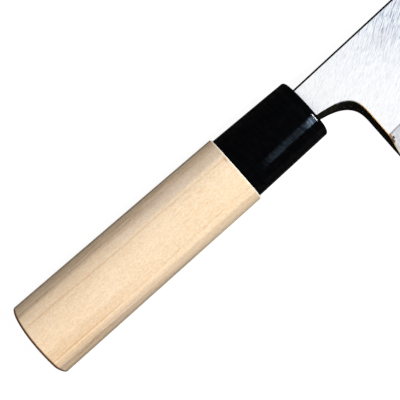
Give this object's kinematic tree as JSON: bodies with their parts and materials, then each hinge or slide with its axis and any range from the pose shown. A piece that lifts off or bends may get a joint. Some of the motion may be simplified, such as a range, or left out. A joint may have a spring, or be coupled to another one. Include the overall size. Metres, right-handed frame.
{
  "type": "deba knife",
  "caption": "Single-bevel deba kitchen knife: tall thick blade with a curved choil, hidden tang, D-section wooden handle and a black ferrule.",
  "frame": {"origin": "centre of the ferrule's mouth on the handle's axis, where the tang goes in", "axes": "+X along the handle's axis towards the tip, +Y towards the spine, +Z out of the bevelled front face; the flat back face looks down"},
  "size_m": [0.2777, 0.052, 0.0228],
  "materials": {
    "handle_wood": "sanded, unvarnished",
    "ferrule": "polished black",
    "mouth_seal": "dark resin",
    "blade_iron": "brushed, scale on choil",
    "edge_steel": "fine ground"
  },
  "bodies": {
    "root": {"handle_wood": "handle_wood", "ferrule": "ferrule", "mouth_seal": "mouth_seal", "blade_iron": "blade_iron", "edge_steel": "edge_steel"}
  },
  "joints": []
}
